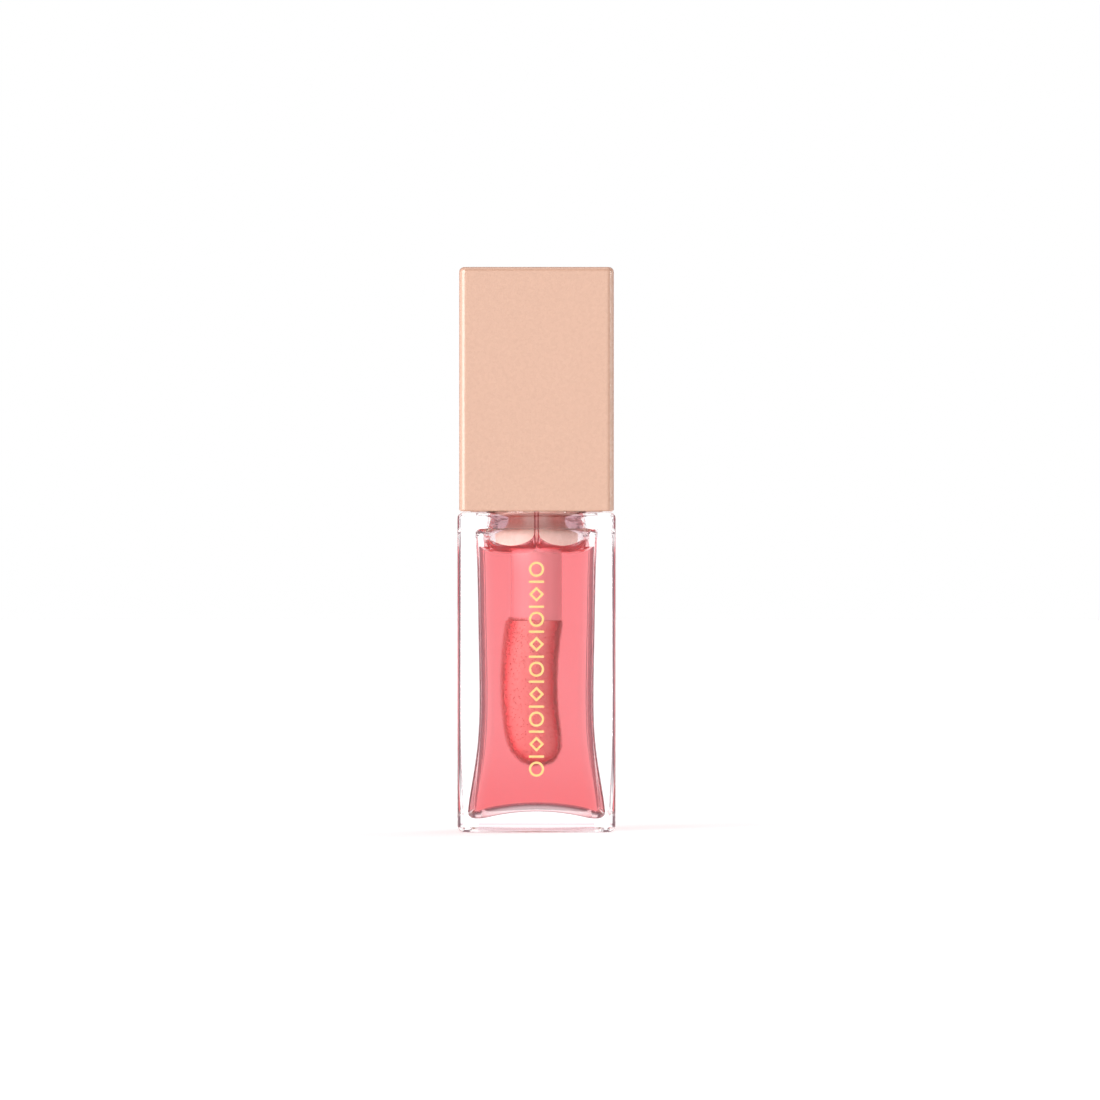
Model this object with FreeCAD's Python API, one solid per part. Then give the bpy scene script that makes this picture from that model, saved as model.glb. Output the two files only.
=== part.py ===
import FreeCAD, Part
import math
import os

# Lip gloss tube: a square, thick-walled glass bottle of lip oil with a square screw cap.
# The cap carries a wand: a round stem that ends in a flocked, gently bowed applicator tip.
# Millimetres. +Z is up, the origin is the middle of the base, and the front faces -Y.

# Bottle, outside
bottle_side = 19.0
bottle_height = 38.4
bottle_edge_r = 1.0
shoulder_edge_r = 0.7
foot_edge_r = 0.85
recess_side = 13.2
recess_corner_r = 1.6
recess_depth = 0.5

# Bottle, inside: a square cavity, waisted in the middle and flared to the foot
cavity_profile = [(1.0, 8.36), (2.5, 8.27), (6.3, 7.72), (11.1, 7.06), (19.5, 6.92), (28.0, 7.08), (36.5, 7.46)]
cavity_corner_r = 2.4
cavity_roof_r = 0.6
cavity_floor_r = 0.6
floor_crown_z = 3.55
floor_crown_r = 27.0
oil_level = 33.9

# Neck
neck_r = 6.1
neck_bore_r = 5.0
neck_rim_z = 50.0
neck_rim_edge = 0.3
neck_throat_r = 6.2
neck_throat_mid_r = 5.63
neck_throat_top_z = 40.4

# Screw thread: the neck's outer ridge and the sleeve's inner ridge run on one helix
thread_lead = 2.5
thread_root_width = 1.1
thread_crest_width = 0.6
neck_thread_crest_r = 6.75
neck_thread_start_z = 43.2
neck_thread_turns = 1.5
sleeve_thread_crest_r = 6.3
sleeve_thread_start = 0.18
sleeve_thread_turns = 1.0
thread_drop = 0.85
thread_sink = 0.25

# Wiper in the neck
wiper_flange_r = 6.1
wiper_flange_height = 0.7
wiper_fit = 0.05
wiper_wall = 0.75
wiper_waist_r = 3.7
wiper_waist_z = 41.0
wiper_cone_height = 2.6
wiper_bell_outside = [(3.7, 38.0), (3.74, 37.45), (4.1, 36.8), (4.75, 36.1), (4.98, 35.3), (4.88, 34.6)]
wiper_bell_rim = (4.58, 34.3)
wiper_bell_inside = [(4.3, 34.6), (4.38, 35.3), (4.1, 35.95), (3.45, 36.7), (3.13, 37.45), (3.09, 38.0)]

# Rim gasket
gasket_inner_r = 3.2
gasket_outer_r = 6.2
gasket_height = 0.8

# Cap
cap_side = 18.6
cap_bottom_z = 38.55
cap_top_z = 67.9
cap_edge_r = 0.9
cap_top_edge_r = 0.6
cap_bottom_edge = 0.15
cap_wall = 1.3
cap_roof = 1.6

# Threaded sleeve pressed into the cap
sleeve_bottom_z = 38.9
sleeve_bore_r = 7.0
sleeve_outer_r = 7.7
sleeve_roof = 1.3
fin_width = 1.0
fin_reach = 10.7
fin_top_clearance = 0.4
press_gap = 0.02

# Wand
stem_r = 3.04
stem_bottom_z = 25.4
stem_flange_r = 6.4
stem_flange_height = 1.2
spigot_r = 2.6
spigot_barb_r = 3.05
spigot_barb_height = 1.2
running_gap = 0.05
socket_r = 1.8
socket_depth = 5.0

# Applicator tip: an oval leaf, bowed towards -X
tip_bottom_z = 8.28
tip_half_width = 3.12
tip_top_half_depth = 3.05
tip_low_half_depth = 2.0
tip_round_height = 4.05
tip_round_power = 2.5
tip_bow = 0.93
tip_bow_z = 18.0
tip_bow_curve = 0.0125
tip_sections = 7
flock_thickness = 0.35
plug_length = 4.6

# Foil ornament on the front: a column of rings and lozenges parted by short bars
foil_bottom_z = 6.7
foil_top_z = 32.5
foil_width = 1.82
foil_stroke = 0.27
foil_thickness = 0.03
foil_motifs = 9

# Stacked heights of the parts between the rim and the cap
flange_top_z = neck_rim_z + wiper_flange_height
gasket_top_z = flange_top_z + gasket_height
roof_bottom_z = gasket_top_z + stem_flange_height
roof_top_z = roof_bottom_z + sleeve_roof


def point(x, y, z):
    return FreeCAD.Vector(x, y, z)


def quarter_turned(x, y, z, quarter):
    """The point (x, y, z) turned about the axis by a number of quarter turns."""
    cos, sin = ((1, 0), (0, 1), (-1, 0), (0, -1))[quarter % 4]
    return point(x * cos - y * sin, x * sin + y * cos, z)


def rounded_square(half, corner_r, z):
    """Wire of a square of the given half side with round corners, level at z."""
    flat = half - corner_r
    mid = flat + corner_r * math.sqrt(0.5)
    edges = []
    for quarter in range(4):
        start = quarter_turned(half, flat, z, quarter)
        middle = quarter_turned(mid, mid, z, quarter)
        end = quarter_turned(flat, half, z, quarter)
        following = quarter_turned(half, flat, z, quarter + 1)
        edges.append(Part.Arc(start, middle, end).toShape())
        edges.append(Part.LineSegment(end, following).toShape())
    return Part.Wire(edges)


def square_block(side, corner_r, bottom_z, top_z):
    """Upright block with a rounded square plan."""
    outline = rounded_square(side / 2, corner_r, bottom_z)
    return Part.Face(outline).extrude(point(0, 0, top_z - bottom_z))


def edges_at(shape, z):
    """The edges of a shape that lie level at height z."""
    level = 1e-4
    return [e for e in shape.Edges if abs(e.BoundBox.ZMin - z) < level and abs(e.BoundBox.ZMax - z) < level]


def cylinder(radius, bottom_z, top_z):
    return Part.makeCylinder(radius, top_z - bottom_z, point(0, 0, bottom_z))


def turned(outline):
    """Solid of revolution about the axis, from a closed outline of (radius, z) points."""
    corners = [point(r, 0, z) for r, z in outline]
    face = Part.Face(Part.makePolygon(corners + corners[:1]))
    return face.revolve(point(0, 0, 0), point(0, 0, 1), 360)


def helical_ridge(root_r, crest_r, start_z, start_turn, turns):
    """Thread ridge with a trapezoid section between a sunken root and its crest."""
    root_half = thread_root_width / 2
    crest_half = thread_crest_width / 2
    corners = [(root_r, -root_half), (crest_r, -crest_half), (crest_r, crest_half), (root_r, root_half)]
    section = Part.makePolygon([point(r, 0, z) for r, z in corners + corners[:1]])
    path = Part.Wire(Part.makeHelix(thread_lead, thread_lead * turns, (root_r + crest_r) / 2).Edges)
    ridge = path.makePipeShell([section], True, True)
    ridge.rotate(point(0, 0, 0), point(0, 0, 1), 360 * start_turn)
    ridge.translate(point(0, 0, start_z + thread_lead * start_turn))
    return ridge


def bottle_cavity():
    """The space inside the bottle under its neck, with a crowned floor."""
    sections = [rounded_square(half, cavity_corner_r, z) for z, half in cavity_profile]
    tower = Part.makeLoft(sections, True, False)
    tower = tower.makeFillet(cavity_roof_r, edges_at(tower, cavity_profile[-1][0]))
    crown = Part.makeSphere(floor_crown_r, point(0, 0, floor_crown_z - floor_crown_r))
    cavity = tower.cut(crown)
    floor = min(cavity.Faces, key=lambda face: face.CenterOfMass.z)
    return cavity.makeFillet(cavity_floor_r, floor.Edges)


def neck_bore():
    """Throat that narrows from the cavity's roof to the neck, and the neck's straight bore."""
    roof_z = cavity_profile[-1][0]
    return turned([
        (0, roof_z - cavity_roof_r),
        (neck_throat_r, roof_z - cavity_roof_r),
        (neck_throat_r, roof_z),
        (neck_throat_mid_r, bottle_height),
        (neck_bore_r, neck_throat_top_z),
        (neck_bore_r, neck_rim_z),
        (0, neck_rim_z),
    ])


def bottle_body():
    """Square block with softened edges and a shallow recess under the foot."""
    block = square_block(bottle_side, bottle_edge_r, 0, bottle_height)
    block = block.makeFillet(shoulder_edge_r, edges_at(block, bottle_height))
    block = block.makeFillet(foot_edge_r, edges_at(block, 0))
    recess = square_block(recess_side, recess_corner_r, 0, recess_depth)
    recess = recess.makeFillet(recess_depth / 2, edges_at(recess, recess_depth))
    return block.cut(recess)


def bottle():
    neck = cylinder(neck_r, bottle_height - 1, neck_rim_z)
    neck = neck.makeFillet(neck_rim_edge, edges_at(neck, neck_rim_z))
    ridge = helical_ridge(
        neck_r - thread_sink, neck_thread_crest_r, neck_thread_start_z, 0, neck_thread_turns
    )
    solid = bottle_body().fuse(neck).fuse(ridge)
    return solid.cut(bottle_cavity()).cut(neck_bore())


def lip_oil():
    """Filling up to its level, with room for the wand that stands in it."""
    below = Part.makeBox(bottle_side, bottle_side, oil_level, point(-bottle_side / 2, -bottle_side / 2, 0))
    wand = cylinder(stem_r, stem_bottom_z - running_gap, neck_rim_z)
    return bottle_cavity().common(below).cut(wand).cut(tip_leaf(0))


def line(start, end):
    return Part.LineSegment(point(start[0], 0, start[1]), point(end[0], 0, end[1])).toShape()


def spline(places):
    curve = Part.BSplineCurve()
    curve.interpolate([point(r, 0, z) for r, z in places])
    return curve.toShape()


def wiper():
    """Soft insert that hangs in the neck from its flange, hugs the stem and opens into a bell under the neck."""
    outer_r = neck_bore_r - wiper_fit
    inner_r = outer_r - wiper_wall
    lip_r = stem_r + running_gap
    cone_top_z = wiper_waist_z + wiper_cone_height
    bell_inside = wiper_bell_inside[:-1] + [(lip_r, wiper_bell_inside[-1][1])]
    corners = [
        wiper_bell_outside[0],
        (wiper_waist_r, wiper_waist_z),
        (outer_r, cone_top_z),
        (outer_r, neck_rim_z),
        (wiper_flange_r, neck_rim_z),
        (wiper_flange_r, flange_top_z),
        (inner_r, flange_top_z),
        (inner_r, cone_top_z),
        (lip_r, wiper_waist_z),
        bell_inside[-1],
    ]
    rim = [point(r, 0, z) for r, z in (wiper_bell_outside[-1], wiper_bell_rim, bell_inside[0])]
    edges = [line(start, end) for start, end in zip(corners, corners[1:])]
    edges += [spline(bell_inside), Part.Arc(*rim).toShape(), spline(wiper_bell_outside)]
    section = Part.Face(Part.Wire(Part.__sortEdges__(edges)))
    return section.revolve(point(0, 0, 0), point(0, 0, 1), 360)


def rim_gasket():
    ring = cylinder(gasket_outer_r, flange_top_z, gasket_top_z)
    return ring.cut(cylinder(gasket_inner_r, flange_top_z, gasket_top_z))


def cap_shell():
    """Square hood, open below, with softened edges."""
    shell = square_block(cap_side, cap_edge_r, cap_bottom_z, cap_top_z)
    shell = shell.makeFillet(cap_top_edge_r, edges_at(shell, cap_top_z))
    shell = shell.makeChamfer(cap_bottom_edge, edges_at(shell, cap_bottom_z))
    hollow = square_block(cap_side - 2 * cap_wall, cap_edge_r, cap_bottom_z, cap_top_z - cap_roof)
    return shell.cut(hollow)


def sleeve_fins():
    """Upright fins that centre the sleeve: four to the cap's walls and four to its corners."""
    wall_reach = cap_side / 2 - cap_wall - press_gap
    height = roof_top_z - fin_top_clearance - sleeve_bottom_z
    fins = []
    for eighth in range(8):
        reach = fin_reach if eighth % 2 else wall_reach
        root = point(sleeve_outer_r - thread_sink, -fin_width / 2, sleeve_bottom_z)
        fin = Part.makeBox(reach - sleeve_outer_r + thread_sink, fin_width, height, root)
        fin.rotate(point(0, 0, 0), point(0, 0, 1), 45 * eighth)
        fins.append(fin)
    return fins


def cap_inner_sleeve():
    """Threaded sleeve with a roof that the wand's spigot snaps through."""
    sleeve = cylinder(sleeve_outer_r, sleeve_bottom_z, roof_top_z)
    sleeve = sleeve.cut(cylinder(sleeve_bore_r, sleeve_bottom_z, roof_bottom_z))
    sleeve = sleeve.cut(cylinder(spigot_r + running_gap, roof_bottom_z, roof_top_z))
    ridge = helical_ridge(
        sleeve_bore_r + thread_sink,
        sleeve_thread_crest_r,
        neck_thread_start_z - thread_drop,
        sleeve_thread_start,
        sleeve_thread_turns,
    )
    return sleeve.fuse([ridge] + sleeve_fins())


def wand_stem():
    """Round stem with a flange under the sleeve's roof, a barbed spigot and a socket for the tip."""
    barb_top_z = roof_top_z + running_gap + spigot_barb_height
    stem = cylinder(stem_r, stem_bottom_z, gasket_top_z)
    flange = cylinder(stem_flange_r, gasket_top_z, roof_bottom_z)
    spigot = turned([
        (0, roof_bottom_z),
        (spigot_r, roof_bottom_z),
        (spigot_r, roof_top_z + running_gap),
        (spigot_barb_r, roof_top_z + running_gap),
        (spigot_r - 2 * running_gap, barb_top_z),
        (0, barb_top_z),
    ])
    socket = cylinder(socket_r, stem_bottom_z, stem_bottom_z + socket_depth)
    return stem.fuse([flange, spigot]).cut(socket)


def tip_section(z, inset):
    """Oval across the tip at height z, drawn in by inset."""
    top_z = stem_bottom_z - running_gap
    centre_x = tip_bow_curve * (z - tip_bow_z) ** 2 - tip_bow
    round_top_z = tip_bottom_z + tip_round_height
    share = min((z - round_top_z) / (top_z - round_top_z), 1)
    half_depth = tip_low_half_depth + (tip_top_half_depth - tip_low_half_depth) * max(share, 0) ** 1.5
    fall = max((round_top_z - z) / tip_round_height, 0)
    fullness = (1 - fall ** tip_round_power) ** (1 / tip_round_power)
    major = tip_half_width * fullness - inset
    minor = half_depth * fullness - inset
    return Part.Wire(Part.Ellipse(point(centre_x, 0, z), major, minor).toShape())


def tip_leaf(inset):
    """Solid leaf of the applicator tip, drawn in by inset on its sides and end."""
    top_z = stem_bottom_z - running_gap
    round_top_z = tip_bottom_z + tip_round_height
    upper = [top_z + (round_top_z - top_z) * i / tip_sections for i in range(tip_sections)]
    angles = [math.pi / 2 * i / tip_sections for i in range(tip_sections)]
    lower = [round_top_z - (tip_round_height - 2 * inset) * math.sin(angle) for angle in angles]
    return Part.makeLoft([tip_section(z, inset) for z in upper + lower], True, False)


def tip_core():
    """Moulded core of the tip, with the plug that presses into the stem."""
    overlap = flock_thickness
    plug = cylinder(socket_r - running_gap, stem_bottom_z - overlap, stem_bottom_z + plug_length)
    return tip_leaf(flock_thickness).fuse(plug)


def tip_flock():
    return tip_leaf(0).cut(tip_leaf(flock_thickness))


def foil_plate(outline):
    """Thin plate of foil on the front face, from a closed outline of (x, z) points."""
    front = -bottle_side / 2
    corners = [point(x, front, z) for x, z in outline]
    return Part.Face(Part.makePolygon(corners + corners[:1])).extrude(point(0, -foil_thickness, 0))


def foil_ring(z):
    front = point(0, -bottle_side / 2, z)
    outer = Part.makeCylinder(foil_width / 2, foil_thickness, front, point(0, -1, 0))
    inner = Part.makeCylinder(foil_width / 2 - foil_stroke, foil_thickness, front, point(0, -1, 0))
    return outer.cut(inner)


def foil_lozenge(z):
    half = foil_width / 2
    hole = half - foil_stroke * math.sqrt(2)
    outer = foil_plate([(-half, z), (0, z - half), (half, z), (0, z + half)])
    inner = foil_plate([(-hole, z), (0, z - hole), (hole, z), (0, z + hole)])
    return outer.cut(inner)


def foil_bar(z):
    half = foil_width / 2
    low = z - foil_stroke / 2
    high = z + foil_stroke / 2
    return foil_plate([(-half, low), (half, low), (half, high), (-half, high)])


def foil_ornament():
    """Rings and lozenges in turn, with a bar between each two."""
    first_z = foil_bottom_z + foil_width / 2
    pitch = (foil_top_z - foil_bottom_z - foil_width) / (foil_motifs - 1)
    pieces = []
    for i in range(foil_motifs):
        z = first_z + pitch * i
        pieces.append(foil_lozenge(z) if i % 2 else foil_ring(z))
        if i:
            pieces.append(foil_bar(z - pitch / 2))
    return Part.makeCompound(pieces)


def main():
    os.makedirs("parts", exist_ok=True)
    makers = [
        bottle,
        lip_oil,
        wiper,
        rim_gasket,
        cap_shell,
        cap_inner_sleeve,
        wand_stem,
        tip_core,
        tip_flock,
        foil_ornament,
    ]
    for make in makers:
        shape = make()
        shape.exportStep("parts/" + make.__name__ + ".step")
        print(make.__name__, "valid", shape.isValid(), "solids", len(shape.Solids), "volume", round(shape.Volume, 3))


main()
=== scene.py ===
import math
import random

import bmesh
import bpy
from mathutils import Matrix, Vector
from mathutils.bvhtree import BVHTree


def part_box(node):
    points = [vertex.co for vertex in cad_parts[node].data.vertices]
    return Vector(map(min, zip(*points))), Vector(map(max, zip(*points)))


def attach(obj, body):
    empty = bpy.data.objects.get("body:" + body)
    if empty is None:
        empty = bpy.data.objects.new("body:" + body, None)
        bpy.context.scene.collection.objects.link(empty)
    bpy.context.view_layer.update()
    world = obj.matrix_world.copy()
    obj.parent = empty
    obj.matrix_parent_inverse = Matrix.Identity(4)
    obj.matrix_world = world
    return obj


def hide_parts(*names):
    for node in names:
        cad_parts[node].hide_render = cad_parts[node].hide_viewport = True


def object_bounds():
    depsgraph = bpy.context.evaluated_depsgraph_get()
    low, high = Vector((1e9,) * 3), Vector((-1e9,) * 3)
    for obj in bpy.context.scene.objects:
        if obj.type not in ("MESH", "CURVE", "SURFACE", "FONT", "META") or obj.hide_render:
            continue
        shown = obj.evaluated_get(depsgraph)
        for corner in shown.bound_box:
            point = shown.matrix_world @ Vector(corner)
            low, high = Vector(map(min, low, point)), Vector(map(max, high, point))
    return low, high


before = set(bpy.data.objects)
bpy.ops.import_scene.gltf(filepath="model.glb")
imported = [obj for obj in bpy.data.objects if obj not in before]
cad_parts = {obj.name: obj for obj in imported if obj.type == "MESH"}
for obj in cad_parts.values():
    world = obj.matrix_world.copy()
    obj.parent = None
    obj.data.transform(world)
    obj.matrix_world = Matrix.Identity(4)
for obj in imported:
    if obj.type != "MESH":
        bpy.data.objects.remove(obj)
cad_low, cad_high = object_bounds()

MM = 0.001
random.seed(7)

# ---------------------------------------------------------------- places from the frame

OIL_LOW, OIL_HIGH = [Vector(c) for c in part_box("lip_oil")]
HEIGHT = cad_high[2]

# ---------------------------------------------------------------- driving values

STEM_R = 3.04 * MM                  # the wand's stem below its flange
GLASS_IOR = 1.57
OIL_IOR = 1.44
CLEAR = (0.995, 0.997, 0.997)       # the glass's own colour
THROAT_FILM_AND_SHADE = (0.5, 0.26, 0.29)     # a film of oil in the neck, darkened with painted shade
HEAD_TINT = (0.82, 0.66, 0.68)      # and above the oil's surface
FOOT_SHADE_TINT = (0.78, 0.62, 0.65)      # painted shade: the dusky band at the foot, over the recess in shadow
BORE_HALF = 7 * MM                  # the throat and the painted shade band at the foot lie within this
FOOT_HIGH = 0.75 * MM
THROAT_HIGH = 1.85 * MM             # above the cavity's roof
WRINKLES = 620                      # features in a metre of the film

SURFACE_Z = OIL_HIGH.z - 0.85 * MM  # the free surface away from glass and stem
ROOF_Z = OIL_HIGH.z + 2.6 * MM      # the cavity's roof
BAY_X = 3.0 * MM                    # the oil's edge on the glass is lowest here, left and right
BAY_Z = OIL_HIGH.z + 0.4 * MM
CUSP_RISE = 1.6 * MM                # its cusp in the middle of each side
CUSP_REACH = 1.1 * MM
RIVULET_RISE = 0.6 * MM             # the thin stream that runs down to the cusp
RIVULET_REACH = 0.28 * MM
CORNER_RISE = 1.5 * MM              # and its climb to the corners
WALL_REACH = 1.4 * MM               # how far in from the glass the surface still climbs
STEM_CLIMB = 1.6 * MM
STEM_REACH = 1.1 * MM
WALL_GAP = 0.012 * MM               # oil walls stand this far inside the glass
AROUND = 256                        # divisions of a ring
WALL_RINGS = 90
SURFACE_RINGS = 46

FOIL_GAP = 0.01 * MM                # the foil stands this far clear of the glass
HAIRS = 14000
HAIR_R = 0.04 * MM
HAIR_ROOT = 0.04 * MM               # the part of a hair inside the flock
HAIR_LENGTH = (0.25 * MM, 0.6 * MM)

TENT_WHITE = (1.18, 1.16, 1.18)
TENT_SEAM = (0.22, 0.11, 0.135)
TENT_EDGE = (0.885, 0.945)          # cosines between which a panel fades in from its seam
AMBIENT = 0.46                      # the tent's light on plain surfaces
FLOOR_HALF = 3.0
FLOOR_DROP = 0.02 * MM              # the floor lies this far under the foot
FLOOR_GLOW = 0.36
CAMERA_DISTANCE = 1.0
VIEW_WIDTH = 132 * MM

# ---------------------------------------------------------------- small helpers


def new_object(name, mesh, body, material=None, smooth=True):
    obj = bpy.data.objects.new(name, mesh)
    bpy.context.scene.collection.objects.link(obj)
    if smooth:
        for face in mesh.polygons:
            face.use_smooth = True
    if material:
        mesh.materials.append(material)
    if body:
        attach(obj, body)
    return obj


def node(tree, kind, **values):
    made = tree.nodes.new(kind)
    for key, value in values.items():
        if key in made.inputs:
            made.inputs[key].default_value = value
        else:
            setattr(made, key, value)
    return made


def blank_material(name):
    mat = bpy.data.materials.new(name)
    mat.use_nodes = True
    tree = mat.node_tree
    shader = tree.nodes["Principled BSDF"]
    return mat, tree, shader


def object_position(tree):
    return tree.nodes.new("ShaderNodeTexCoord").outputs["Object"]


def noise(tree, where, scale, detail=2.0, stretch=None):
    """Noise texture over the object's own coordinates; scale is in features per metre."""
    if stretch:
        mapping = node(tree, "ShaderNodeMapping")
        mapping.inputs["Scale"].default_value = stretch
        tree.links.new(where, mapping.inputs["Vector"])
        where = mapping.outputs["Vector"]
    texture = node(tree, "ShaderNodeTexNoise", Scale=scale, Detail=detail)
    tree.links.new(where, texture.inputs["Vector"])
    return texture.outputs["Fac"]


def spread(tree, factor, low, high):
    """A factor from 0 to 1 spread to a range of values."""
    ranged = node(tree, "ShaderNodeMapRange")
    ranged.inputs["To Min"].default_value = low
    ranged.inputs["To Max"].default_value = high
    tree.links.new(factor, ranged.inputs["Value"])
    return ranged.outputs["Result"]


def maths(tree, operation, first, second=None):
    """A Math node. Each input is a socket or a plain number."""
    made = node(tree, "ShaderNodeMath", operation=operation)
    for socket, value in zip(made.inputs, (first, second)):
        if isinstance(value, (int, float)):
            socket.default_value = value
        elif value is not None:
            tree.links.new(value, socket)
    return made.outputs[0]


def product(tree, *factors):
    """All the factors multiplied: the masks that hold together."""
    total = factors[0]
    for factor in factors[1:]:
        total = maths(tree, "MULTIPLY", total, factor)
    return total


def size_of(tree, socket):
    return maths(tree, "ABSOLUTE", socket)


def under(tree, socket, limit):
    return maths(tree, "LESS_THAN", socket, limit)


def over(tree, socket, limit):
    return maths(tree, "GREATER_THAN", socket, limit)


def ramp(tree, source, low, high, to_low=0.0, to_high=1.0):
    """A soft step as the source goes from low to high."""
    made = node(tree, "ShaderNodeMapRange", interpolation_type="SMOOTHSTEP")
    made.inputs["From Min"].default_value = low
    made.inputs["From Max"].default_value = high
    made.inputs["To Min"].default_value = to_low
    made.inputs["To Max"].default_value = to_high
    tree.links.new(source, made.inputs["Value"])
    return made.outputs[0]


def coordinates(tree, where):
    split = node(tree, "ShaderNodeSeparateXYZ")
    tree.links.new(where, split.inputs[0])
    return split.outputs


def mixed_colour(tree, factor, first, second):
    """The second colour laid over the first by the factor. Each is a socket or three numbers."""
    mix = node(tree, "ShaderNodeMix", data_type="RGBA")
    tree.links.new(factor, mix.inputs[0])
    for socket, value in zip(mix.inputs[6:8], (first, second)):
        if isinstance(value, tuple):
            socket.default_value = (*value, 1)
        else:
            tree.links.new(value, socket)
    return mix.outputs[2]


def mixed_shader(tree, factor, first, second):
    """The material's surface: the first shader, and the second where the factor is 1."""
    mix = node(tree, "ShaderNodeMixShader")
    tree.links.new(factor, mix.inputs[0])
    tree.links.new(first.outputs[0], mix.inputs[1])
    tree.links.new(second.outputs[0], mix.inputs[2])
    tree.links.new(mix.outputs[0], tree.nodes["Material Output"].inputs["Surface"])


def bump(tree, shader, height, strength, distance):
    made = node(tree, "ShaderNodeBump", Strength=strength, Distance=distance)
    tree.links.new(height, made.inputs["Height"])
    tree.links.new(made.outputs["Normal"], shader.inputs["Normal"])


def let_light_through(tree, shader):
    """Shadow and diffuse rays pass straight through, so what stands in the glass is lit."""
    path = node(tree, "ShaderNodeLightPath")
    either = maths(tree, "MAXIMUM", path.outputs["Is Shadow Ray"], path.outputs["Is Diffuse Ray"])
    mixed_shader(tree, either, shader, node(tree, "ShaderNodeBsdfTransparent"))


# ---------------------------------------------------------------- materials


def moulded_plastic(name, colour, shade, roughness, grain, bump_distance, coat=0.0, subsurface=0.0):
    """Moulded plastic: faint tone drift, uneven gloss and a fine orange-peel grain."""
    mat, tree, shader = blank_material(name)
    where = object_position(tree)
    tone = noise(tree, where, 90, 3)
    tree.links.new(mixed_colour(tree, tone, colour, shade), shader.inputs["Base Color"])
    gloss = noise(tree, where, 1600, 4)
    tree.links.new(spread(tree, gloss, roughness - 0.05, roughness + 0.06), shader.inputs["Roughness"])
    peel = noise(tree, where, grain, 2)
    bump(tree, shader, peel, 0.35, bump_distance)
    shader.inputs["Coat Weight"].default_value = coat
    shader.inputs["Coat Roughness"].default_value = 0.08
    shader.inputs["Subsurface Weight"].default_value = subsurface
    shader.inputs["Subsurface Radius"].default_value = (1.0, 0.6, 0.5)
    shader.inputs["Subsurface Scale"].default_value = 1.0 * MM
    return mat


def bottle_glass():
    """Clear pressed glass. Where oil wets the cavity wall, light bends only by the two indices' ratio.

    A wrinkled film of oil tints the space above the oil and, darkened with painted shade, the throat; the
    foot has a dusky band of painted shade."""
    mat, tree, shader = blank_material("bottle_glass")
    where = object_position(tree)
    shader.inputs["Base Color"].default_value = (*CLEAR, 1)
    shader.inputs["Transmission Weight"].default_value = 1.0
    shader.inputs["Roughness"].default_value = 0.0
    shader.inputs["IOR"].default_value = GLASS_IOR
    x, y, z = coordinates(tree, where)
    across = size_of(tree, x)
    along = size_of(tree, y)
    nearer = maths(tree, "MINIMUM", across, along)
    cavity_half = OIL_HIGH.x + 0.25 * MM
    inside = product(tree, under(tree, across, cavity_half), under(tree, along, cavity_half))
    in_bore = product(tree, under(tree, across, BORE_HALF), under(tree, along, BORE_HALF))
    over_floor = over(tree, z, OIL_LOW.z - 0.2 * MM)
    under_level = under(tree, z, BAY_Z)
    under_roof = under(tree, z, ROOF_Z + 0.05 * MM)
    over_roof = over(tree, z, ROOF_Z + 0.05 * MM)
    middle = ramp(tree, nearer, 6.0 * MM, 4.6 * MM)
    # the throat's tint is a film of oil darkened with painted shade, standing in for the cap's dark inside
    throat = product(tree, in_bore, over_roof, under(tree, z, ROOF_Z + THROAT_HIGH))
    head = product(tree, inside, under_roof, ramp(tree, z, BAY_Z, BAY_Z + 1.2 * MM))
    # the foot's band is painted shade, where light can't get into the recess under the bottle
    foot = product(tree, under(tree, nearer, BORE_HALF), under(tree, z, FOOT_HIGH))

    film = maths(tree, "MAXIMUM", under_level, product(tree, under_roof, middle))
    wet = maths(tree, "MAXIMUM", product(tree, inside, over_floor, film), throat)
    tree.links.new(spread(tree, wet, GLASS_IOR, GLASS_IOR / OIL_IOR), shader.inputs["IOR"])

    colour = mixed_colour(tree, throat, CLEAR, THROAT_FILM_AND_SHADE)
    colour = mixed_colour(tree, head, colour, HEAD_TINT)
    colour = mixed_colour(tree, foot, colour, FOOT_SHADE_TINT)
    tree.links.new(colour, shader.inputs["Base Color"])

    ripple = spread(tree, noise(tree, where, 130, 1), 0.0, 0.02)
    corner = maths(tree, "SUBTRACT", 1.0, middle)
    curled = maths(tree, "MAXIMUM", product(tree, head, corner), throat)
    wrinkle = product(tree, noise(tree, where, WRINKLES, 2, (1, 1, 2.2)), curled)
    bump(tree, shader, maths(tree, "ADD", ripple, wrinkle), 1.0, 0.2 * MM)
    let_light_through(tree, shader)
    return mat


def oil_material():
    """Clear coral oil that darkens to deep red with the length of the light's way through it.

    Its walls bend nothing, because the glass there already does; its free surface bends light as oil."""
    mat, tree, shader = blank_material("lip_oil")
    shader.inputs["Base Color"].default_value = (1, 1, 1, 1)
    shader.inputs["Transmission Weight"].default_value = 1.0
    shader.inputs["Roughness"].default_value = 0.0
    shader.inputs["IOR"].default_value = OIL_IOR
    surface = node(tree, "ShaderNodeAttribute", attribute_name="free_surface")
    tree.links.new(spread(tree, surface.outputs["Fac"], 1.0, OIL_IOR), shader.inputs["IOR"])
    absorb = node(tree, "ShaderNodeVolumeAbsorption")
    absorb.inputs["Color"].default_value = (0.905, 0.03, 0.085, 1)
    absorb.inputs["Density"].default_value = 122.0
    output = tree.nodes["Material Output"]
    tree.links.new(absorb.outputs["Volume"], output.inputs["Volume"])
    let_light_through(tree, shader)
    return mat


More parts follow.
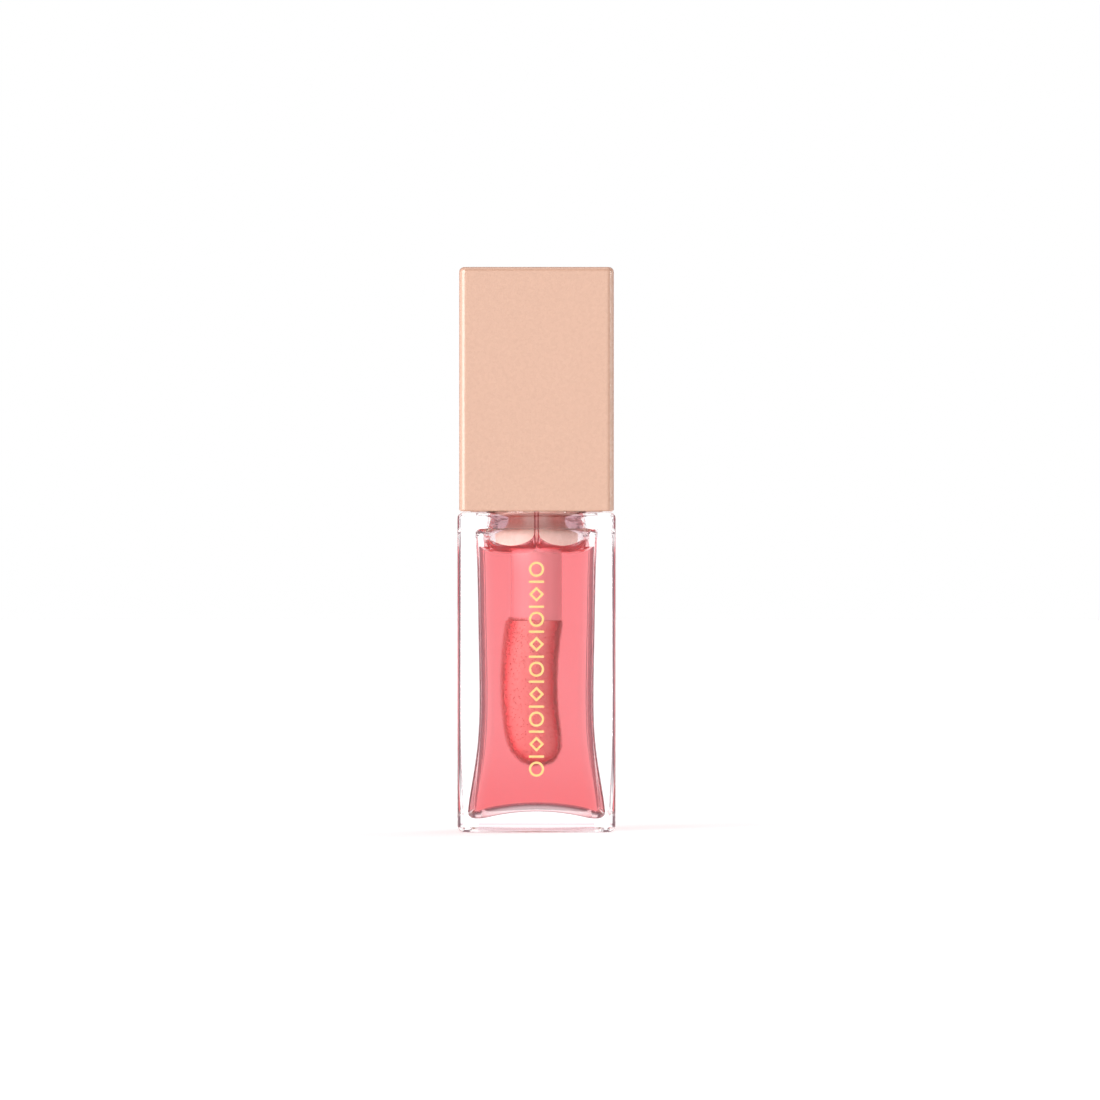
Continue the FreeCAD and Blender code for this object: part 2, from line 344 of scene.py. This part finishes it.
def gold_foil():
    """Hot-stamped foil: bright gold with fine pits and a slightly uneven press."""
    mat, tree, shader = blank_material("gold_foil")
    where = object_position(tree)
    tone = noise(tree, where, 900, 3)
    gold = mixed_colour(tree, tone, (1.0, 0.64, 0.22), (1.0, 0.74, 0.34))
    tree.links.new(gold, shader.inputs["Base Color"])
    shader.inputs["Metallic"].default_value = 1.0
    rough = noise(tree, where, 2600, 3)
    tree.links.new(spread(tree, rough, 0.22, 0.42), shader.inputs["Roughness"])
    bump(tree, shader, noise(tree, where, 5200, 2), 0.3, 0.01 * MM)
    return mat


def wiper_material():
    """Soft peach plastic with painted shade, browner at the sides in the throat, and a thin stream of oil
    down the middle.
    """
    mat, tree, shader = blank_material("wiper_soft")
    where = object_position(tree)
    x, y, z = coordinates(tree, where)
    across = size_of(tree, x)
    off = maths(tree, "MINIMUM", across, size_of(tree, y))
    in_glass = ramp(tree, z, ROOF_Z + 2.6 * MM, ROOF_Z + 2.2 * MM)
    # painted shade: the wiper browner high up and at its sides in the throat, where refraction at the bore
    # shades it
    high = ramp(tree, z, ROOF_Z - 0.6 * MM, ROOF_Z + 1.0 * MM)
    painted_shade_aside = ramp(tree, across, 0.9 * MM, 2.3 * MM)
    stream = product(tree, ramp(tree, off, 0.36 * MM, 0.24 * MM), in_glass)
    core = product(tree, ramp(tree, off, 0.16 * MM, 0.08 * MM), in_glass)
    colour = mixed_colour(tree, noise(tree, where, 900, 3), (0.88, 0.62, 0.53), (0.93, 0.68, 0.59))
    colour = mixed_colour(tree, product(tree, high, in_glass, painted_shade_aside), colour, (0.8, 0.3, 0.23))
    colour = mixed_colour(tree, stream, colour, (0.5, 0.06, 0.05))
    colour = mixed_colour(tree, core, colour, (0.95, 0.5, 0.46))
    tree.links.new(colour, shader.inputs["Base Color"])
    tree.links.new(spread(tree, noise(tree, where, 1500, 3), 0.2, 0.34), shader.inputs["Roughness"])
    bump(tree, shader, noise(tree, where, 1500, 2), 0.2, 0.005 * MM)
    return mat


def flock_material():
    """Short velvety flock: warm pink tufts, with painted shade darker and redder round the rim of the tip.
    """
    mat, tree, shader = blank_material("flock")
    where = object_position(tree)
    tuft = noise(tree, where, 2400, 4)
    soft = mixed_colour(tree, tuft, (0.8, 0.5, 0.46), (0.92, 0.64, 0.59))
    normal = tree.nodes.new("ShaderNodeTexCoord").outputs["Normal"]
    flat = size_of(tree, coordinates(tree, normal)["Y"])
    # painted shade: the flock darker and redder where it turns away round the rim
    rim = ramp(tree, flat, 0.98, 0.55)
    tree.links.new(mixed_colour(tree, rim, soft, (0.8, 0.15, 0.16)), shader.inputs["Base Color"])
    shader.inputs["Roughness"].default_value = 0.85
    shader.inputs["Sheen Weight"].default_value = 0.4
    shader.inputs["Sheen Roughness"].default_value = 0.5
    bump(tree, shader, noise(tree, where, 5200, 3), 0.6, 0.06 * MM)
    return mat


# ---------------------------------------------------------------- the oil


def wall_distance(tree, angle, z):
    """How far the oil's outer wall is from the axis at this angle and height."""
    out = Vector((math.cos(angle), math.sin(angle), 0))
    start = out * 20 * MM + Vector((0, 0, z))
    hit = tree.ray_cast(start, -out)[0]
    return (hit.xy.length if hit else 0.0) - WALL_GAP


def contact_height(x, y):
    """Height of the oil's edge on the glass: low bays, a cusp between them, high corners."""
    off = min(abs(x), abs(y))
    cusp = CUSP_RISE * math.exp(-off / CUSP_REACH)
    rivulet = RIVULET_RISE * math.exp(-((off / RIVULET_REACH) ** 2))
    corner = CORNER_RISE * max((off - BAY_X) / (OIL_HIGH.x - 1.6 * MM - BAY_X), 0) ** 1.6
    return BAY_Z + cusp + rivulet + corner


def oil_mesh():
    """Closed filling: crowned floor, waisted walls and a surface that climbs the glass and the stem."""
    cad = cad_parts["lip_oil"]
    tree = BVHTree.FromObject(cad, bpy.context.evaluated_depsgraph_get())
    angles = [2 * math.pi * i / AROUND for i in range(AROUND)]
    bm = bmesh.new()

    def ring(points):
        return [bm.verts.new(p) for p in points]

    def fan(loop, centre, up):
        middle = bm.verts.new(centre)
        for i in range(AROUND):
            j = (i + 1) % AROUND
            bm.faces.new((loop[i], loop[j], middle) if up else (loop[j], loop[i], middle))

    def floor_z(x, y):
        hit = tree.ray_cast(Vector((x, y, -MM)), Vector((0, 0, 1)))[0]
        return hit.z + WALL_GAP

    probe_top = OIL_HIGH.z - 0.05 * MM
    probe_radii = [wall_distance(tree, a, probe_top) for a in angles]
    probe_slopes = [(r - wall_distance(tree, a, probe_top - MM)) / MM for a, r in zip(angles, probe_radii)]

    def wall_radius(i, z):
        """The wall above the oil's CAD level goes on at its slope."""
        if z <= probe_top:
            return wall_distance(tree, angles[i], z)
        return probe_radii[i] + probe_slopes[i] * (z - probe_top)

    def at(i, radius, z):
        return (radius * math.cos(angles[i]), radius * math.sin(angles[i]), z)

    # floor, from the middle out to the foot of the walls
    foot_z = OIL_LOW.z + 1.3 * MM
    foot = [wall_distance(tree, a, foot_z) for a in angles]
    shares = [0.04 + 0.9 * (i / 22) for i in range(23)] + [0.955, 0.97, 0.98, 0.988, 0.994, 0.998]
    rings = []
    for share in shares:
        points = []
        for i, r in enumerate(foot):
            x, y, _ = at(i, r * share, 0)
            points.append((x, y, floor_z(x, y)))
        rings.append(ring(points))
    # walls, from the foot up to the contact line
    edge_z = [contact_height(*at(i, r, 0)[:2]) for i, r in enumerate(probe_radii)]
    for step in range(WALL_RINGS + 1):
        share = step / WALL_RINGS
        points = []
        for i in range(AROUND):
            z = foot_z + (edge_z[i] - foot_z) * share
            points.append(at(i, wall_radius(i, z), z))
        rings.append(ring(points))
    edge_radii = [wall_radius(i, z) for i, z in enumerate(edge_z)]
    first_surface_ring = len(rings)

    # free surface, from the contact line in to the middle
    def surface_z(r, wall_r, wall_z):
        from_wall = max(wall_r - r, 0)
        from_stem = abs(r - STEM_R)
        stem_climb = STEM_CLIMB * math.exp(-from_stem / STEM_REACH)
        return SURFACE_Z + (wall_z - SURFACE_Z) * math.exp(-from_wall / WALL_REACH) + stem_climb

    inward = [1 - 0.0035 * (k + 1) ** 1.5 for k in range(SURFACE_RINGS)]
    for share in [s for s in inward if s > 0.03]:
        points = []
        for i, r in enumerate(edge_radii):
            points.append(at(i, r * share, surface_z(r * share, r, edge_z[i])))
        rings.append(ring(points))
    for number, (lower, upper) in enumerate(zip(rings, rings[1:])):
        for i in range(AROUND):
            j = (i + 1) % AROUND
            face = bm.faces.new((lower[i], lower[j], upper[j], upper[i]))
            face.material_index = 1 if number + 1 >= first_surface_ring else 0
    fan(rings[0], (0, 0, floor_z(0, 0)), False)
    before = len(bm.faces)
    fan(rings[-1], (0, 0, surface_z(0, edge_radii[0], edge_z[0])), True)
    bm.faces.ensure_lookup_table()
    for face in bm.faces[before:]:
        face.material_index = 1
    bmesh.ops.recalc_face_normals(bm, faces=bm.faces)
    mesh = bpy.data.meshes.new("lip_oil_fill")
    bm.to_mesh(mesh)
    bm.free()
    free = mesh.attributes.new("free_surface", "FLOAT", "FACE")
    for face, value in zip(mesh.polygons, free.data):
        value.value = face.material_index
        face.material_index = 0
    return mesh


def add_oil():
    obj = new_object("lip_oil_fill", oil_mesh(), "bottle", oil_material())
    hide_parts("lip_oil")


# ---------------------------------------------------------------- fuzz on the tip


def fuzz_mesh():
    """Short tapered hairs on the flock, leaning a little down, most of them round the tip's rim."""
    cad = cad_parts["tip_flock"]
    cad.data.calc_loop_triangles()
    points = [cad.matrix_world @ vertex.co for vertex in cad.data.vertices]
    corners = [[points[i] for i in triangle.vertices] for triangle in cad.data.loop_triangles]
    crosses = [(b - a).cross(c - a) for a, b, c in corners]
    rims = [1 - cross.normalized().y ** 2 for cross in crosses]
    weights = [cross.length / 2 * (0.05 + rim ** 4) for cross, rim in zip(crosses, rims)]
    verts, faces = [], []
    for a, b, c in random.choices(corners, weights=weights, k=HAIRS):
        u, v = random.random(), random.random()
        if u + v > 1:
            u, v = 1 - u, 1 - v
        root = a + (b - a) * u + (c - a) * v
        normal = (b - a).cross(c - a).normalized()
        lean = Vector((random.gauss(0, 0.3), random.gauss(0, 0.3), random.gauss(-0.25, 0.3)))
        out = (normal + lean).normalized()
        side = out.orthogonal().normalized() * HAIR_R
        other = out.cross(side)
        first = len(verts)
        foot = root - out * HAIR_ROOT
        verts.append(foot + side)
        verts.append(foot - side / 2 + other * 0.87)
        verts.append(foot - side / 2 - other * 0.87)
        verts.append(root + out * random.uniform(*HAIR_LENGTH))
        faces.append((first, first + 2, first + 1))
        faces.extend((first + i, first + (i + 1) % 3, first + 3) for i in range(3))
    mesh = bpy.data.meshes.new("tip_fuzz")
    mesh.from_pydata(verts, [], faces)
    return mesh


def fuzz_material():
    """Single fibres, some of them redder with oil."""
    mat, tree, shader = blank_material("fuzz")
    tone = noise(tree, object_position(tree), 2600, 2)
    fibre = mixed_colour(tree, tone, (0.7, 0.24, 0.24), (0.86, 0.4, 0.38))
    tree.links.new(fibre, shader.inputs["Base Color"])
    shader.inputs["Roughness"].default_value = 0.7
    return mat


def add_foil():
    """The ornament, a hair clear of the glass."""
    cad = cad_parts["foil_ornament"]
    mesh = cad.data.copy()
    mesh.transform(cad.matrix_world)
    mesh.transform(Matrix.Translation((0, -FOIL_GAP, 0)))
    mesh.materials.clear()
    foil = new_object("foil_stamp", mesh, "bottle", gold_foil(), smooth=False)
    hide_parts("foil_ornament")


def add_fuzz():
    new_object("tip_fuzz", fuzz_mesh(), "wand", fuzz_material())


# ---------------------------------------------------------------- carried-over CAD nodes


def finish_node(name, material):
    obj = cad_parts[name]
    if not obj.material_slots:
        obj.data.materials.append(material)
    for slot in obj.material_slots:
        slot.material = material


def finish_nodes():
    finish_node("bottle", bottle_glass())
    finish_node("cap_shell", moulded_plastic(
        "cap_peach", (0.61, 0.365, 0.26), (0.62, 0.372, 0.268), 0.27, 6000, 0.0002 * MM, coat=1.0))
    finish_node("cap_inner_sleeve", moulded_plastic(
        "sleeve_peach", (0.72, 0.49, 0.4), (0.75, 0.52, 0.43), 0.4, 1800, 0.01 * MM))
    finish_node("wand_stem", moulded_plastic(
        "stem_blush", (0.84, 0.58, 0.6), (0.88, 0.62, 0.64), 0.3, 1700, 0.004 * MM))
    finish_node("tip_core", moulded_plastic(
        "core_natural", (0.9, 0.82, 0.78), (0.93, 0.86, 0.82), 0.45, 1500, 0.01 * MM))
    finish_node("wiper", wiper_material())
    finish_node("rim_gasket", moulded_plastic(
        "gasket_foam", (0.86, 0.84, 0.82), (0.93, 0.92, 0.9), 0.8, 5200, 0.05 * MM))
    finish_node("tip_flock", flock_material())


# ---------------------------------------------------------------- floor, light and camera


def add_floor():
    """Plain white floor, its glow cut under the bottle as a painted contact shadow. Glass sees the tent
    mirrored in it at glancing angles.
    """
    mesh = bpy.data.meshes.new("floor")
    signs = ((-1, -1), (1, -1), (1, 1), (-1, 1))
    mesh.from_pydata([(x * FLOOR_HALF, y * FLOOR_HALF, 0) for x, y in signs], [], [(0, 1, 2, 3)])
    mat, tree, shader = blank_material("floor")
    grain = noise(tree, object_position(tree), 12, 2)
    shade = mixed_colour(tree, grain, (0.74, 0.74, 0.74), (0.76, 0.76, 0.76))
    tree.links.new(shade, shader.inputs["Base Color"])
    shader.inputs["Roughness"].default_value = 0.9
    shader.inputs["Emission Color"].default_value = (1, 1, 1, 1)
    x, y, z = coordinates(tree, object_position(tree))
    farther = maths(tree, "MAXIMUM", size_of(tree, x), size_of(tree, y))
    # painted contact shadow: the floor's glow fades out under the bottle
    glow_with_painted_shadow = ramp(tree, farther, 8 * MM, 9.6 * MM, 0.02, FLOOR_GLOW)
    tree.links.new(glow_with_painted_shadow, shader.inputs["Emission Strength"])
    facing = node(tree, "ShaderNodeLayerWeight", Blend=0.5).outputs["Facing"]
    from_glass = node(tree, "ShaderNodeLightPath").outputs["Is Transmission Ray"]
    see_through = product(tree, from_glass, ramp(tree, facing, 0.9, 0.95))
    mixed_shader(tree, see_through, shader, node(tree, "ShaderNodeBsdfTransparent"))
    floor = new_object("floor", mesh, None, mat)
    floor.location.z = -FLOOR_DROP


def add_world():
    """A white box tent of bright panels. Its darker seams draw the thin lines in the glass."""
    world = bpy.data.worlds.new("studio")
    bpy.context.scene.world = world
    world.use_nodes = True
    tree = world.node_tree
    background = tree.nodes["Background"]
    x, y, z = coordinates(tree, node(tree, "ShaderNodeTexCoord").outputs["Generated"])
    level = maths(tree, "MAXIMUM", size_of(tree, x), size_of(tree, y))
    nearest = maths(tree, "MAXIMUM", level, size_of(tree, z))
    tent = mixed_colour(tree, ramp(tree, nearest, *TENT_EDGE), TENT_SEAM, TENT_WHITE)
    path = node(tree, "ShaderNodeLightPath")
    soft = mixed_colour(tree, path.outputs["Is Diffuse Ray"], tent, (AMBIENT, AMBIENT, AMBIENT))
    seen = mixed_colour(tree, path.outputs["Is Camera Ray"], soft, (1.0, 1.0, 1.0))
    tree.links.new(seen, background.inputs["Color"])


def add_strip(name, place, width, height, power):
    """Upright strip light aimed at the object, kept out of the camera's own view."""
    data = bpy.data.lights.new(name, "AREA")
    data.shape = "RECTANGLE"
    data.size = width
    data.size_y = height
    data.energy = power
    light = bpy.data.objects.new(name, data)
    bpy.context.scene.collection.objects.link(light)
    light.location = place
    aim = Vector((0, 0, place[2])) - Vector(place)
    light.rotation_euler = aim.to_track_quat("-Z", "Y").to_euler()
    light.visible_camera = False
    light.visible_diffuse = False


def add_sun(name, direction, energy, angle):
    data = bpy.data.lights.new(name, "SUN")
    data.energy = energy
    data.angle = math.radians(angle)
    sun = bpy.data.objects.new(name, data)
    bpy.context.scene.collection.objects.link(sun)
    sun.rotation_euler = Vector(direction).to_track_quat("-Z", "Y").to_euler()
    sun.visible_transmission = False
    return sun


def add_lights():
    """A broad soft key from the front left, a weaker one behind, a strip for the cap's right edge."""
    add_sun("key", (0.72, 0.6, -0.26), 3.1, 48)
    add_sun("back", (-0.6, -0.65, -0.4), 2.0, 60).visible_glossy = False
    add_strip("strip_right", (0.5, -0.2, 0.05), 0.02, 0.4, 0.5)


def add_camera():
    data = bpy.data.cameras.new("camera")
    camera = bpy.data.objects.new("camera", data)
    bpy.context.scene.collection.objects.link(camera)
    data.sensor_width = 36
    data.lens = data.sensor_width * CAMERA_DISTANCE / VIEW_WIDTH
    data.clip_start = 0.05
    data.clip_end = 20
    camera.location = (1.62 * MM, cad_low[1] - CAMERA_DISTANCE, HEIGHT / 2 - 0.05 * MM)
    camera.rotation_euler = (math.radians(90), 0, 0)
    bpy.context.scene.camera = camera


def main():
    bpy.context.scene.view_settings.view_transform = "Standard"
    cycles = bpy.context.scene.cycles
    cycles.max_bounces = 48
    cycles.transmission_bounces = 48
    cycles.glossy_bounces = 48
    cycles.diffuse_bounces = 8
    cycles.transparent_max_bounces = 16
    add_camera()
    add_world()
    add_lights()
    add_floor()
    finish_nodes()
    add_oil()
    add_fuzz()
    add_foil()


main()
